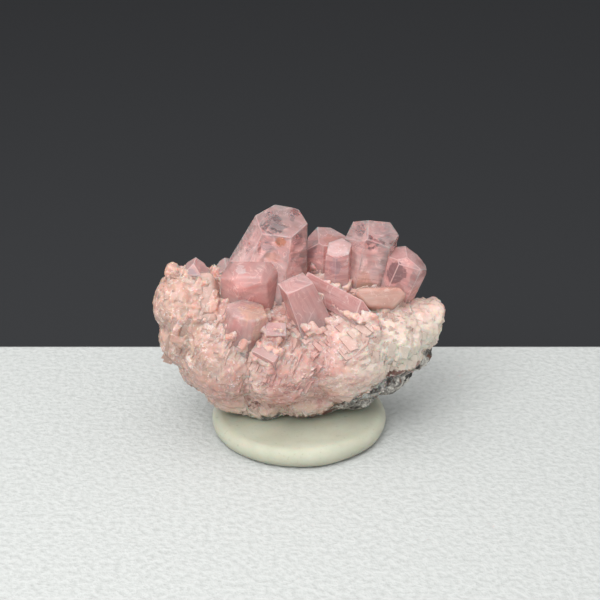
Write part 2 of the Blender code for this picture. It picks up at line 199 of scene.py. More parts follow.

# Marks on the crystals' faces: centre, half sizes, tint, share of the tint, and how ragged the outline is.
# The grey and mauve marks are painted shade: dark windows where the dark room would show through the crystal.
Mark = namedtuple("Mark", "centre half tint share ragged")
# grey and mauve of the painted dark windows
PAINTED_WINDOW_GREY = (0.36, 0.4, 0.43)
PAINTED_WINDOW_MAUVE = (0.46, 0.37, 0.41)
MARKS_AND_PAINTED_WINDOWS = {
    "tall": [
        # the grey and mauve marks are painted dark windows
        Mark((-1.9, 0.84, 17.17), (0.85, 1.4, 0.9), (0.33, 0.33, 0.345), 0.85, 0.55),
        Mark((-0.53, 1.63, 17.34), (0.25, 0.5, 0.4), PAINTED_WINDOW_GREY, 0.7, 0.6),
        Mark((-0.23, 2.32, 17.56), (0.5, 0.35, 0.3), (0.4, 0.14, 0.14), 0.6, 0.9),
        Mark((-0.15, 0.05, 16.18), (0.7, 0.7, 0.5), PAINTED_WINDOW_MAUVE, 0.55, 0.2),
        Mark((-2.42, -0.57, 15.95), (0.42, 0.5, 0.34), PAINTED_WINDOW_GREY, 0.85, 0.25),
        Mark((-1.43, -0.51, 16.25), (0.5, 0.5, 0.36), (0.78, 0.36, 0.18), 0.9, 0.4),
        Mark((-2.04, -0.83, 15.16), (0.55, 0.5, 0.42), (0.84, 0.5, 0.34), 0.5, 0.6),
        Mark((-3.0, -0.6, 15.9), (0.13, 0.4, 1.2), (0.62, 0.25, 0.23), 0.7, 0.2),
        Mark((-3.89, 0.15, 15.39), (0.2, 0.45, 0.55), (0.42, 0.34, 0.35), 0.6, 0.3),
    ],
    "back_centre": [
        # the grey and mauve marks are painted dark windows
        Mark((1.25, 2.12, 15.05), (0.3, 0.45, 0.6), (0.5, 0.46, 0.46), 0.7, 0.3),
        Mark((0.94, 1.85, 14.41), (0.5, 0.5, 0.55), PAINTED_WINDOW_MAUVE, 0.65, 0.3),
        Mark((2.9, 2.6, 15.1), (1.1, 1.2, 0.7), (0.86, 0.4, 0.3), 0.5, 0.5),
    ],
    "centre": [
        # the mauve mark is a painted dark window
        Mark((2.74, -0.85, 14.34), (0.55, 0.6, 0.9), PAINTED_WINDOW_MAUVE, 0.65, 0.35),
        Mark((2.9, -0.1, 15.4), (1.1, 1.0, 0.4), (0.96, 0.72, 0.7), 0.7, 0.1),
    ],
    "right_tall": [
        # the dark grey marks are painted dark windows
        Mark((4.76, 1.2, 16.4), (0.35, 0.9, 1.1), (0.3, 0.28, 0.3), 0.6, 0.6),
        Mark((6.5, 1.44, 16.3), (1.1, 1.2, 0.55), (0.93, 0.76, 0.77), 0.6, 0.3),
        Mark((5.71, 0.01, 16.05), (0.75, 0.6, 0.42), (0.28, 0.22, 0.24), 0.85, 1.4),
        Mark((4.85, -0.27, 12.81), (0.8, 0.5, 0.8), (0.86, 0.52, 0.38), 0.55, 0.5),
        Mark((7.23, 0.99, 15.6), (0.7, 0.5, 0.09), (0.4, 0.14, 0.14), 0.7, 0.2),
    ],
    "right_leaning": [
        # painted dark window
        Mark((7.32, -0.73, 13.86), (0.9, 0.8, 0.95), (0.27, 0.19, 0.21), 0.85, 0.2),
    ],
    "left_round": [
        Mark((-4.41, -2.34, 14.7), (0.35, 0.4, 0.35), (0.97, 0.85, 0.83), 0.8, 1.0),
    ],
    "front_left": [
        Mark((-3.3, -4.7, 12.3), (1.2, 0.9, 0.8), (0.93, 0.64, 0.5), 0.8, 0.6),
        Mark((-3.0, -5.2, 11.0), (0.45, 0.6, 1.3), (0.95, 0.74, 0.62), 0.85, 0.5),
        Mark((-4.7, -5.1, 10.9), (0.7, 0.6, 1.1), (0.84, 0.42, 0.4), 0.6, 0.5),
    ],
    # painted shade darkening the long ridge's face
    "long_ridge": [Mark((4.4, -2.8, 11.8), (2.2, 1.2, 1.2), (0.5, 0.22, 0.205), 0.4, 0.8)],
    # the mauve mark is a painted dark window
    "left_roof": [Mark((-8.34, -0.44, 13.56), (0.5, 0.5, 0.35), PAINTED_WINDOW_MAUVE, 0.7, 0.2)],
}

# rust on the crust and the rock, and painted shade: dark marks in hollows and by the pad
RUST_AND_PAINTED_SHADE = [
    Mark((7.4, -2.7, 6.2), (0.55, 1.0, 0.5), (0.13, 0.045, 0.03), 0.85, 0.9),
    # brown low down by the pad: rust, and painted shade where the crust meets the pad
    Mark((2.6, -2.2, 2.5), (0.9, 1.1, 0.35), (0.12, 0.045, 0.03), 0.8, 0.9),
    Mark((0.9, -2.4, 2.2), (1.3, 1.1, 0.3), (0.1, 0.045, 0.035), 0.75, 0.9),
    # near black: painted shade in a hollow
    Mark((8.7, -1.0, 4.9), (0.5, 0.9, 0.28), (0.01, 0.008, 0.008), 0.9, 0.5),
]

# ---------------- looks of the crust, the rock and the pad
TREE_VOXEL = 0.4  # fineness of the skins that are only measured against
CRUST_VOXEL = 0.11
ROCK_VOXEL = 0.16
PAD_GAP = 0.03  # least height of the crust and the rock over the pad

CRUST_SWELL = 0.08  # how much wider the crust's lobes are than part.py's
# how often the crust's relief varies in a millimetre, how high it stands, and where its noise starts
CRUST_RELIEF = [(0.9, 0.14, (0, 0, 0)), (2.2, 0.11, (9, 0, 0)), (5.0, 0.05, (0, 9, 0))]
ROCK_STEPS = (0.8, 0.12)  # how often the rock's broken steps, swells and grain vary, and how high they stand
ROCK_SWELLS = (0.5, 0.2)
ROCK_GRAIN = (1.7, 0.14)
ROCK_OCTAVES = (0.8, 2.0, 4)  # how fast the grain's octaves fade, how far apart they are, and how many
ROCK_SLIM = 0.16
ROCK_MARGIN = 0.35  # least distance of a rhomb's middle from the rock, as a share of its size

RHOMB_SEED = 5
# how many, smallest and largest size, how far the middle is sunk as a share of the size
RHOMB_BANDS = [(2200, 0.3, 0.6, 0.5), (800, 0.6, 1.1, 0.58), (160, 1.1, 1.9, 0.66)]
RHOMB_LENGTHS = (0.8, 1.6)  # shares of its size
RHOMB_WIDTHS = (0.8, 1.3)
RHOMB_HEIGHT = 0.7
RHOMB_STRAY = 0.12  # radians by which it may turn from its grain
BOX_CORNERS = [(x, y, z) for x in (-0.5, 0.5) for y in (-0.5, 0.5) for z in (-0.5, 0.5)]
BOX_FACES = [(0, 1, 3, 2), (4, 6, 7, 5), (0, 4, 5, 1), (2, 3, 7, 6), (0, 2, 6, 4), (1, 5, 7, 3)]
RHOMB_SHEAR = Matrix(((1, 0.26, 0.1), (0, 1, 0.26), (0, 0, 0.85)))
GRAINS = 60
GRAIN_LEANS = (20, 180)  # degrees from +Z, and millimetres from MIDDLE
GRAIN_REACH = (4, 9)
SMALL_BEYOND = 10.3  # further out than this along X, rhombs are of their band's smallest size
MIDDLE = (-0.2, 0.2, 8.2)
FAR = 60  # further out than any piece

FEET = (-1, 9)  # stretch of each column, from its foot, that is searched for the crust's edge
COLLAR_TRIES = 420
COLLAR_FROM = -0.3  # height over the crust from which a collar starts
COLLAR_RISE = 0.6  # how far the crust creeps up the crystals' sides, and how many times as far on some
COLLAR_RISES = {
    "front_left": 1.6, "left_round": 1.5, "lilac": 1.3, "low_front": 1.4, "left_block": 1.6, "low_slab": 1.2,
}
COLLAR_SIZE = (0.35, 0.95)
COLLAR_SUNK = 0.42  # how far the middle is sunk, as a share of the size
CHIP_TRIES = 280
CHIP_RISE = 0.6  # how far the sharp chips climb, as a share of the collars' rise
CHIP_SIZE = (0.3, 0.7)
CHIP_SUNK = 0.45

PEACH_X = (-3.0, -8.0)  # where the crust turns from pink to peach
WHITE_X = (1.5, 8.0)  # where it turns white to the right, if it is below the first heights, and near its foot
WHITE_TOP = (13.0, 8.5)
WHITE_FOOT = (4.0, 1.8)
BARE_X = (1.0, 7.0)  # where the line between bare rock and crust climbs, from what height, and how far
BARE_FOOT = 2.3
BARE_CLIMB = 4.2
BARE_RAGGED = (1.2, 3.0)  # size of its swings, and how far they go
BARE_SHARP = 3.0
BARE_TOP = 10.0  # no height over this counts

PAD_RINGS = 12  # steps from the middle to the rim, below and above
PAD_RIM_STEPS = 14
PAD_SEGMENTS = 128
PAD_WELD = 0.000001  # metres
PAD_WAVES = (0.22, 0.2)  # how often the top waves in a millimetre, and how high
PAD_SWAY = (0.3, 0.012)  # how often the outline sways, and by what share of the radius

# ---------------- colours and optics
LINE_MILK = (0.99, 0.9, 0.88)
# white of the healed cracks, and of the painted highlight on the crystals' bevels
THREAD_AND_EDGE_HIGHLIGHT_WHITE = (0.99, 0.92, 0.9)
GEM_SCATTER = (1.0, 0.55, 0.5)  # how far red, green and blue spread in a crystal, as shares
GEM_REACH = 0.0007  # metres that light spreads under the faces of the crystals, the crust and the putty
CRUST_REACH = 0.0012
PUTTY_REACH = 0.0008
GEM_IOR = 1.58  # calcite lies between 1.49 and 1.66
CRUST_IOR = 1.6
VEIL_IOR = 1.15  # near that of what is round the veils, so that they stay soft
# dull tint of the hearts' tops, a painted shade
HEART_TOP_PAINTED_SHADE = (0.88, 0.64, 0.61)
CRUST_PINK = (0.5, 0.262, 0.23)
CRUST_ROSE = (0.55, 0.365, 0.315)
CRUST_PEACH = (0.4, 0.265, 0.21)
CRUST_WHITE = (0.63, 0.56, 0.475)
CRUST_VEIN = (0.66, 0.5, 0.45)
CRUST_THREAD = (0.8, 0.72, 0.68)
# white of small spots on the crust, painted glints
CRUST_PAINTED_GLINT = (0.85, 0.8, 0.76)
BORDER_RUST = (0.2, 0.085, 0.045)
ROCK_RUST = (0.13, 0.05, 0.03)
PUTTY_SPECK = (0.2, 0.195, 0.15)
ROCK_GREYS = [(0.41, (0.026, 0.024, 0.022)), (0.5, (0.21, 0.2, 0.182)), (0.6, (0.6, 0.575, 0.52))]
PUTTY_GREYS = [(0.3, (0.355, 0.365, 0.283)), (0.7, (0.43, 0.436, 0.35))]
FLOOR_GREYS = [(0.3, (0.38, 0.392, 0.38)), (0.6, (0.445, 0.457, 0.445))]
TABLE_BLACK = (0.031, 0.032, 0.034, 1)

# ---------------- the stage
CAMERA_PLACE = (0.08, -93.4, 55.7)
CAMERA_PITCH = 25.5  # degrees below the horizon
CAMERA_LENS = 80
CAMERA_SENSOR = 36
CAMERA_NEAR = 0.002  # metres

FLOOR_WIDTH = 160
FLOOR_FRONT = -110
FLOOR_BACK = 14
FLOOR_THICK = 6
FLOOR_ROUND = 0.6
TABLE_HALF = 450
TABLE_BELOW = 1  # how far it lies below the floor's underside

TENT = (1.1, 1.1, 1.11)
TENT_BACK = (0.1, 0.7)  # how far back the tent starts and ends to dim
TENT_DIM = 0.35
GLARE_BELOW = 140  # a light smaller than this leaves no glare on the flat faces
LIT_PLACE = (0, 0, 8)
# name, place, width, power
LIGHTS = [
    ("overhead", (-30, -30, 150), 170, 0.11),
    ("key", (-48, -95, 124), 110, 0.19),
]


# ---------------- small tools
def direction(azimuth, lean):
    """The unit vector that leans from +Z by lean towards azimuth, both in degrees."""
    a, b = math.radians(azimuth), math.radians(lean)
    return Vector((math.sin(b) * math.cos(a), math.sin(b) * math.sin(a), math.cos(b)))


def in_scene(name, data):
    """A new object that holds the data, in the scene."""
    obj = bpy.data.objects.new(name, data)
    bpy.context.scene.collection.objects.link(obj)
    return obj


def object_from(bm, name, smooth=False):
    """A new object holding the bmesh, scaled from millimetres to metres."""
    bmesh.ops.scale(bm, vec=(MM, MM, MM), verts=bm.verts)
    bmesh.ops.recalc_face_normals(bm, faces=bm.faces)
    mesh = bpy.data.meshes.new(name)
    bm.to_mesh(mesh)
    bm.free()
    mesh.shade_smooth() if smooth else mesh.shade_flat()
    return in_scene(name, mesh)


def bake(obj):
    """Replaces the object's mesh by what its modifiers make of it."""
    bpy.context.view_layer.update()
    graph = bpy.context.evaluated_depsgraph_get()
    mesh = bpy.data.meshes.new_from_object(obj.evaluated_get(graph))
    obj.modifiers.clear()
    obj.data = mesh
    mesh.name = obj.name


def add_lobes(bm, lobes):
    """Adds an ellipsoid for each lobe: the middle's x, y and z, then the half sizes."""
    for x, y, z, half_x, half_y, half_z in lobes:
        matrix = Matrix.LocRotScale((x, y, z), None, (half_x, half_y, half_z))
        bmesh.ops.create_icosphere(bm, subdivisions=4, radius=1, matrix=matrix)


def one_skin(obj, voxel):
    """Fuses overlapping forms into one closed skin."""
    remesh = obj.modifiers.new("one_skin", "REMESH")
    remesh.mode = "VOXEL"
    remesh.voxel_size = voxel * MM
    bake(obj)


def move_points(mesh, offset):
    """Moves each point along its normal by offset(place), in millimetres."""
    mesh.update()
    moves = [vertex.normal * offset(vertex.co / MM) * MM for vertex in mesh.vertices]
    for vertex, move in zip(mesh.vertices, moves):
        vertex.co += move


def rest_on_pad(mesh):
    """Lifts what would sink into the pad to just above it."""
    for vertex in mesh.vertices:
        vertex.co.z = max(vertex.co.z, (PAD_HEIGHT + PAD_GAP) * MM)


def dress(obj, material):
    """Gives the object this material alone."""
    obj.data.materials.clear()
    obj.data.materials.append(material)


# ---------------- node helpers
class Nodes:
    """The node tree of a material or a world."""

    def __init__(self, owner):
        owner.use_nodes = True
        self.tree = owner.node_tree

    def link(self, out, into):
        """Joins an output to a socket."""
        self.tree.links.new(out, into)

    def feed(self, socket, value):
        """Links an output to the socket, or sets the socket to a number, a vector or a colour."""
        if isinstance(value, bpy.types.NodeSocket):
            self.link(value, socket)
        elif isinstance(value, tuple) and len(value) < len(socket.default_value):
            socket.default_value = (*value, 1)
        else:
            socket.default_value = value

    def node(self, kind, sockets=None, **properties):
        """A new node, with its properties set and its sockets, by name or number, fed."""
        made = self.tree.nodes.new(kind)
        for key, value in properties.items():
            setattr(made, key, value)
        for key, value in (sockets or {}).items():
            self.feed(made.inputs[key], value)
        return made


class Surface(Nodes):
    """A material's node tree, with the few nodes that these finishes are made of."""

    def __init__(self, name):
        self.material = bpy.data.materials.new(name)
        super().__init__(self.material)
        self.shader = self.tree.nodes["Principled BSDF"]
        self.place = self.node("ShaderNodeTexCoord").outputs["Object"]

    def set(self, **values):
        """Sets the shader's own sockets to constants."""
        for key, value in values.items():
            self.shader.inputs[key.replace("_", " ")].default_value = value

    def drive(self, socket, out):
        """Links an output to one of the shader's sockets."""
        self.link(out, self.shader.inputs[socket])

    def ramp(self, value, stops):
        """Maps a value from 0 to 1 to colours or greys: stops are (place, colour or grey)."""
        made = self.node("ShaderNodeValToRGB")
        elements = made.color_ramp.elements
        while len(elements) < len(stops):
            elements.new(0.5)
        for element, (at, shade) in zip(elements, stops):
            element.position = at
            element.color = (*shade, 1) if isinstance(shade, tuple) else (shade, shade, shade, 1)
        self.link(value, made.inputs["Fac"])
        return made.outputs["Color"]

    def mix(self, share, first, second):
        """The first colour, turned into the second by the share."""
        return self.node("ShaderNodeMix", {0: share, 6: first, 7: second}, data_type="RGBA").outputs[2]

    def tinge(self, body, where, share, tint):
        """The body, turned into the tint by the share where where is 1."""
        return self.mix(self.times(where, share), body, tint)

    def marked(self, body, marks):
        """The body with these marks on it."""
        for mark in marks:
            body = self.tinge(body, self.spot(mark), mark.share, mark.tint)
        return body

    def maths(self, operation, first, second, clamp=False):
        """The two values put together, and held between 0 and 1 if clamp is set."""
        sockets = {0: first, 1: second}
        return self.node("ShaderNodeMath", sockets, operation=operation, use_clamp=clamp).outputs[0]

    def times(self, first, second, clamp=False):
        """The two values multiplied."""
        return self.maths("MULTIPLY", first, second, clamp)

    def swing(self, value, width):
        """A value from 0 to 1, made to swing round 0 over this width."""
        return self.times(self.maths("SUBTRACT", value, 0.5), width)

    def vector(self, operation, sockets):
        """What the operation makes of the vectors in the sockets."""
        return self.node("ShaderNodeVectorMath", sockets, operation=operation).outputs[0]

    def noise(self, size, detail=4, rough=0.5, distort=0.0):
        """Noise from 0 to 1 whose blobs are about size millimetres across."""
        sockets = {"Scale": 1 / (size * MM), "Detail": detail, "Roughness": rough, "Distortion": distort}
        return self.node("ShaderNodeTexNoise", {**sockets, "Vector": self.place}).outputs["Fac"]

    def patches(self, low, high, size, least=0.0, most=1.0, **options):
        """Noise drawn apart: least where it is under low, most where it is over high."""
        return self.ramp(self.noise(size, **options), [(low, least), (high, most)])

    def cells(self, size, place):
        """A random colour in each cell, about size millimetres across."""
        return self.node("ShaderNodeTexVoronoi", {"Scale": 1 / (size * MM), "Vector": place}).outputs["Color"]

    def growth_lines(self, along):
        """Noise drawn out around the column, or along it, from its UV map in millimetres."""
        uv = self.node("ShaderNodeUVMap", uv_map="growth").outputs["UV"]
        scale = LINES_ALONG if along else LINES_AROUND
        mapping = self.node("ShaderNodeMapping", {"Scale": scale, "Vector": uv})
        sockets = {"Scale": 1, "Detail": 3, "Distortion": 0.3, "Vector": mapping.outputs["Vector"]}
        return self.node("ShaderNodeTexNoise", sockets).outputs["Fac"]

    def threads(self, size, width):
        """Thin wandering lines, like healed cracks."""
        band = self.noise(size, detail=3, distort=1.6)
        stops = [(0.5 - width, 0.0), (0.5, 1.0), (0.5 + width, 0.0)]
        return self.times(self.ramp(band, stops), self.patches(0.45, 0.6, 0.9))

    def facets(self, size, tilt):
        """The surface's normal, tipped a random way in each small cell, as on a crowd of tiny crystals."""
        scale = 1 / (FACET_WARP[0] * size * MM)
        warp = self.node("ShaderNodeTexNoise", {"Scale": scale, "Vector": self.place})
        shift = {0: warp.outputs["Color"], 1: (size * MM * FACET_WARP[1],) * 3, 2: self.place}
        cells = self.cells(size, self.vector("MULTIPLY_ADD", shift))
        tipped = self.vector("SUBTRACT", {0: cells, 1: (0.5, 0.5, 0.5)})
        scaled = self.vector("SCALE", {0: tipped, "Scale": tilt})
        normal = self.node("ShaderNodeNewGeometry").outputs["Normal"]
        return self.vector("NORMALIZE", {0: self.vector("ADD", {0: scaled, 1: normal})})

    def spot(self, mark):
        """1 within the mark's ellipsoid and 0 outside it, with a ragged edge."""
        scale = tuple(1 / (half * MM) for half in mark.half)
        shift = tuple(-centre / half for centre, half in zip(mark.centre, mark.half))
        mapping = self.node("ShaderNodeMapping", {"Scale": scale, "Location": shift, "Vector": self.place})
        length = self.node("ShaderNodeVectorMath", {0: mapping.outputs["Vector"]}, operation="LENGTH")
        split = self.node("ShaderNodeSeparateColor", {"Color": self.cells(MARK_CELL, self.place)})
        wobble = self.swing(split.outputs["Red"], mark.ragged)
        reach = self.maths("ADD", length.outputs["Value"], wobble)
        cloudy = self.swing(self.noise(MARK_CLOUDS[0], detail=5), MARK_CLOUDS[1])
        return self.ramp(self.maths("ADD", reach, cloudy), MARK_FADE)

    def axis(self, letter, start, end):
        """0 up to the start along X, Y or Z, 1 from the end on. The end may be the lower of the two."""
        split = self.node("ShaderNodeSeparateXYZ", {"Vector": self.place})
        span = {"From Min": start * MM, "From Max": end * MM, "Value": split.outputs[letter]}
        return self.node("ShaderNodeMapRange", span).outputs["Result"]

    def bare_share(self):
        """Where the crust wears thin over the rock: below a ragged line that climbs to the right."""
        ragged = self.swing(self.noise(BARE_RAGGED[0], detail=6, rough=0.65), BARE_RAGGED[1])
        climb = self.times(self.axis("X", *BARE_X), BARE_CLIMB)
        line = self.maths("ADD", self.maths("ADD", climb, BARE_FOOT), ragged)
        height = self.times(self.axis("Z", 0.0, BARE_TOP), BARE_TOP)
        return self.times(self.maths("SUBTRACT", line, height), BARE_SHARP, clamp=True)

    def bump(self, height, depth, strength=1.0, after=None):
        """The normal that relief of this depth in millimetres gives, on top of the normal after."""
        sockets = {"Strength": strength, "Distance": depth * MM, "Height": height}
        if after is not None:
            sockets["Normal"] = after
        return self.node("ShaderNodeBump", sockets).outputs["Normal"]

    def absorb(self, color, density):
        """Fills the piece with a tint that deepens with the way that light goes through it."""
        volume = self.node("ShaderNodeVolumeAbsorption", {"Color": color, "Density": density})
        self.link(volume.outputs["Volume"], self.tree.nodes["Material Output"].inputs["Volume"])


# ---------------- finishes
def gem_finish(name, light, dark, clear, absorb, density, marks, lined, along, edge):
    """The outer growth of a crystal: clear is how much light passes, and the rest is milky. edge whitens the
    whole finish, for the painted highlight on bevelled edges.
    """
    look = Surface(name)
    clouds = look.patches(0.35, 0.65, 1.6, distort=0.6)
    tint = look.mix(clouds, dark, light)
    lines = look.ramp(look.growth_lines(along), [(0.42, 0.0), (0.58, 1.0)])
    tint = look.tinge(tint, lines, lined, LINE_MILK)
    # marks: tints in the crystal, some of them painted dark windows
    tint = look.marked(tint, marks)
    # edge is more than 0 only on the bevels' finish, which it whitens all over: a painted highlight
    threads = look.maths("MAXIMUM", look.times(look.threads(1.3, 0.03), 0.22), edge)
    tint = look.mix(threads, tint, THREAD_AND_EDGE_HIGHLIGHT_WHITE)
    look.drive("Base Color", tint)
    milky = look.times(look.maths("ADD", look.times(lines, lined), threads), 0.5)
    look.drive("Transmission Weight", look.maths("SUBTRACT", clear, milky, clamp=True))
    look.drive("Roughness", look.patches(0.3, 0.8, 0.5, 0.02, 0.12, detail=6))
    etched = look.bump(threads, 0.02, 0.6, look.bump(lines, 0.02, 0.6, look.facets(1.3, 0.06)))
    look.drive("Normal", look.bump(look.noise(0.3, detail=5), 0.006, 0.5, etched))
    look.set(IOR=GEM_IOR, Subsurface_Weight=1.0, Subsurface_Scale=GEM_REACH, Subsurface_Radius=GEM_SCATTER)
    look.absorb(absorb, density)
    return look.material


def heart_finish(name, light, dark):
    """The milky heart of a crystal, seen through its clear outer growth."""
    look = Surface(name)
    clouds = look.patches(0.35, 0.62, 0.9, detail=5, rough=0.6, distort=0.9)
    body = look.mix(clouds, dark, light)
    # painted shade: the heart dulls towards its top
    body = look.mix(look.axis("Z", *HEART_TOPS), body, HEART_TOP_PAINTED_SHADE)
    look.drive("Base Color", body)
    look.drive("Normal", look.bump(look.noise(0.3, detail=5, rough=0.65), 0.02, 0.8))
    look.set(Roughness=0.6, Specular_IOR_Level=0.1)
    return look.material


def flake_finish(name, tint, dark):
    """A cloudy film, nearly as clear as the crystal round it."""
    look = Surface(name)
    shade = look.mix(look.patches(0.35, 0.65, 0.4, detail=5, rough=0.6), tint, dark)
    look.drive("Base Color", shade)
    look.drive("Normal", look.bump(look.noise(0.2), 0.01, 0.6))
    look.set(Roughness=0.4, Transmission_Weight=0.6, IOR=VEIL_IOR)
    return look.material


def crust_finish(name, clear, milky):
    """Sugary calcite: peach at the left, pink in the middle, white at the right, and bare stone low down."""
    look = Surface(name)
    patches = look.noise(2.4, rough=0.55, distort=0.4)
    body = look.mix(look.ramp(patches, [(0.4, 0.0), (0.6, 1.0)]), CRUST_PINK, CRUST_ROSE)
    body = look.tinge(body, look.axis("X", *PEACH_X), 0.75, CRUST_PEACH)
    veins = look.patches(0.5, 0.7, 0.9, detail=7, rough=0.65, distort=1.0)
    body = look.tinge(body, veins, 0.35, CRUST_VEIN)
    threads = look.threads(1.1, 0.045)
    body = look.tinge(body, threads, 0.45, CRUST_THREAD)
    # specks: small white spots on the crust, painted glints standing in for sparkle
    specks = look.patches(0.64, 0.72, 0.2, detail=2)
    body = look.tinge(body, specks, 0.4, CRUST_PAINTED_GLINT)
    whiteness = look.times(look.axis("X", *WHITE_X), look.axis("Z", *WHITE_TOP))
    low = look.times(look.axis("Z", *WHITE_FOOT), 0.8)
    whiteness = look.maths("ADD", whiteness, low, clamp=True)
    broken = look.times(whiteness, look.ramp(patches, [(0.25, 0.6), (0.6, 1.0)]))
    body = look.mix(broken, body, CRUST_WHITE)
    bare = look.bare_share()
    body = look.mix(bare, body, rock_tint(look))
    border = look.times(look.times(bare, look.maths("SUBTRACT", 1.0, bare)), 4.0)
    rusty = look.patches(0.45, 0.55, 0.8, 0.0, 0.9, detail=6, rough=0.7)
    body = look.tinge(body, border, rusty, BORDER_RUST)
    # rust, and painted shade in hollows and by the pad
    look.drive("Base Color", look.marked(body, RUST_AND_PAINTED_SHADE))
    gloss = look.patches(0.3, 0.75, 0.4, 0.08, 0.3)
    look.drive("Roughness", look.maths("ADD", gloss, look.times(bare, 0.5)))
    coarse = look.bump(look.noise(0.9, detail=5, rough=0.6), 0.08, 0.4, look.facets(0.45, 0.3))
    coarse = look.bump(threads, 0.04, 0.6, coarse)
    look.drive("Normal", look.bump(look.noise(0.25, rough=0.6), 0.02, 0.6, coarse))
    look.drive("Transmission Weight", look.ramp(bare, [(0.0, clear), (0.3, 0.0)]))
    look.set(IOR=CRUST_IOR, Subsurface_Weight=milky, Subsurface_Scale=CRUST_REACH)
    return look.material


def rock_tint(look):
    """Grey stone with pale and black streaks and rust."""
    body = look.ramp(look.noise(1.0, detail=9, rough=0.75), ROCK_GREYS)
    rust = look.patches(0.56, 0.63, 1.1, detail=6, rough=0.7, distort=1.0)
    return look.tinge(body, rust, 0.85, ROCK_RUST)


def rock_finish():
    """Broken stone, dull and rough."""
    look = Surface("grey_rock")
    # rust, and painted shade in hollows and by the pad
    look.drive("Base Color", look.marked(rock_tint(look), RUST_AND_PAINTED_SHADE))
    coarse = look.bump(look.noise(0.8, detail=8, rough=0.7), 0.2, 0.8)
    look.drive("Normal", look.bump(look.noise(0.15, detail=5, rough=0.7), 0.04, 0.8, coarse))
    look.drive("Roughness", look.patches(0.3, 0.7, 2.2, 0.7, 0.95))
    return look.material


def putty_finish():
    """Pale grey-green putty with dark specks and a soft sheen."""
    look = Surface("mineral_putty")
    patches = look.noise(2.5, detail=5, rough=0.6)
    body = look.ramp(patches, PUTTY_GREYS)
    specks = look.patches(0.62, 0.74, 0.25, detail=3)
    body = look.tinge(body, specks, 0.35, PUTTY_SPECK)
    look.drive("Base Color", body)
    look.drive("Roughness", look.ramp(patches, [(0.3, 0.45), (0.7, 0.62)]))
    soft = look.bump(look.noise(1.6, detail=3), 0.12, 0.5)
    look.drive("Normal", look.bump(look.noise(0.12, detail=3), 0.012, 0.6, soft))
    look.set(Subsurface_Weight=0.35, Subsurface_Scale=PUTTY_REACH)
    return look.material


# ---------------- pieces
def slice_off(bm, point, normal):
    """Cuts away what lies beyond the plane and closes the cut with a flat face."""
    everything = bm.verts[:] + bm.edges[:] + bm.faces[:]
    cut = bmesh.ops.bisect_plane(
        bm, geom=everything, plane_co=point, plane_no=normal, clear_outer=True, dist=1e-5
    )
    edges = [e for e in cut["geom_cut"] if isinstance(e, bmesh.types.BMEdge)]
    if edges:
        bmesh.ops.contextual_create(bm, geom=edges)


def column_frame(spec):
    """The column's own axes: +Z runs from foot to tip, and +X is as near to world +X as it can be."""
    foot, tip = Vector(spec.foot), Vector(spec.tip)
    axis = (tip - foot).normalized()
    side = (Vector((1, 0, 0)) - axis * axis.x).normalized()
    turn = Matrix((side, axis.cross(side), axis)).transposed()
    return Matrix.Translation(foot) @ turn.to_4x4()


def crystal_mesh(spec, wear):
    """The column of a row of CRYSTALS, cut by its end faces, with its edges worn by wear."""
    foot, tip = Vector(spec.foot), Vector(spec.tip)
    length = (tip - foot).length
    spare = SPARE * spec.width
    radius = spec.width / 2 if spec.sides == 6 else spec.width / math.sqrt(2)
    growth = radius * (1 - spec.spread) / length
    bm = bmesh.new()
    bmesh.ops.create_cone(
        bm,
        cap_ends=True,
        segments=spec.sides,
        radius1=radius * spec.spread,
        radius2=max(LEAST_TIP, radius + growth * spare),
        depth=length + spare,
        matrix=Matrix.Translation((0, 0, (length + spare) / 2)),
    )
    bmesh.ops.rotate(bm, verts=bm.verts, matrix=Matrix.Rotation(math.pi / spec.sides, 3, "Z"))
    bmesh.ops.scale(bm, verts=bm.verts, vec=(1, spec.depth, 1))
    bmesh.ops.rotate(bm, verts=bm.verts, matrix=Matrix.Rotation(math.radians(spec.turn), 3, "Z"))
    bmesh.ops.transform(bm, verts=bm.verts, matrix=column_frame(spec))
    for azimuth, lean, out in spec.ends:
        normal = direction(azimuth, lean)
        slice_off(bm, tip + normal * out, normal)
    rounded = wear > ROUNDED
    worn = bmesh.ops.bevel(
        bm, geom=bm.edges[:], offset=wear, segments=4 if rounded else 2, profile=0.5, affect="EDGES",
        clamp_overlap=True,
    )
    # the bevels of unrounded crystals take the second finish, whitened as a painted edge highlight
    for face in worn["faces"]:
        face.material_index = 0 if rounded else 1
    bmesh.ops.recalc_face_normals(bm, faces=bm.faces)
    return bm


def random_turn(limit):
    """A turn of up to limit radians each way about each axis."""
    return Euler([random.uniform(-limit, limit) for _ in range(3)]).to_matrix()


def depth_in(tree, place):
    """How deep the place lies in the closed surface, negative outside it."""
    near, normal, _, distance = tree.find_nearest(place)
    return distance if (place - near).dot(normal) < 0 else -distance


def inside(tree, place):
    """Whether the place is in the closed mesh and at least FLAKE_DEPTH away from its nearest face."""
    near, normal, _, _ = tree.find_nearest(place)
    return near is not None and (place - near).dot(normal) < -FLAKE_DEPTH


def lobes_tree(lobes):
    """The fused lobes' surface, to cast rays and measure depths against."""
    bm = bmesh.new()
    add_lobes(bm, lobes)
    shell = object_from(bm, "shell")
    one_skin(shell, TREE_VOXEL)
    tree = BVHTree.FromPolygons(
        [vertex.co / MM for vertex in shell.data.vertices], [face.vertices for face in shell.data.polygons]
    )
    bpy.data.objects.remove(shell)
    return tree


def make_grains():
    """Middles of the patches in which the rhombs lie the same way, as in cleaved calcite, and that way."""
    grains = []
    for _ in range(GRAINS):
        outward = direction(random.uniform(0, 360), random.uniform(*GRAIN_LEANS))
        grains.append((Vector(MIDDLE) + outward * random.uniform(*GRAIN_REACH), random_turn(math.pi)))
    return grains


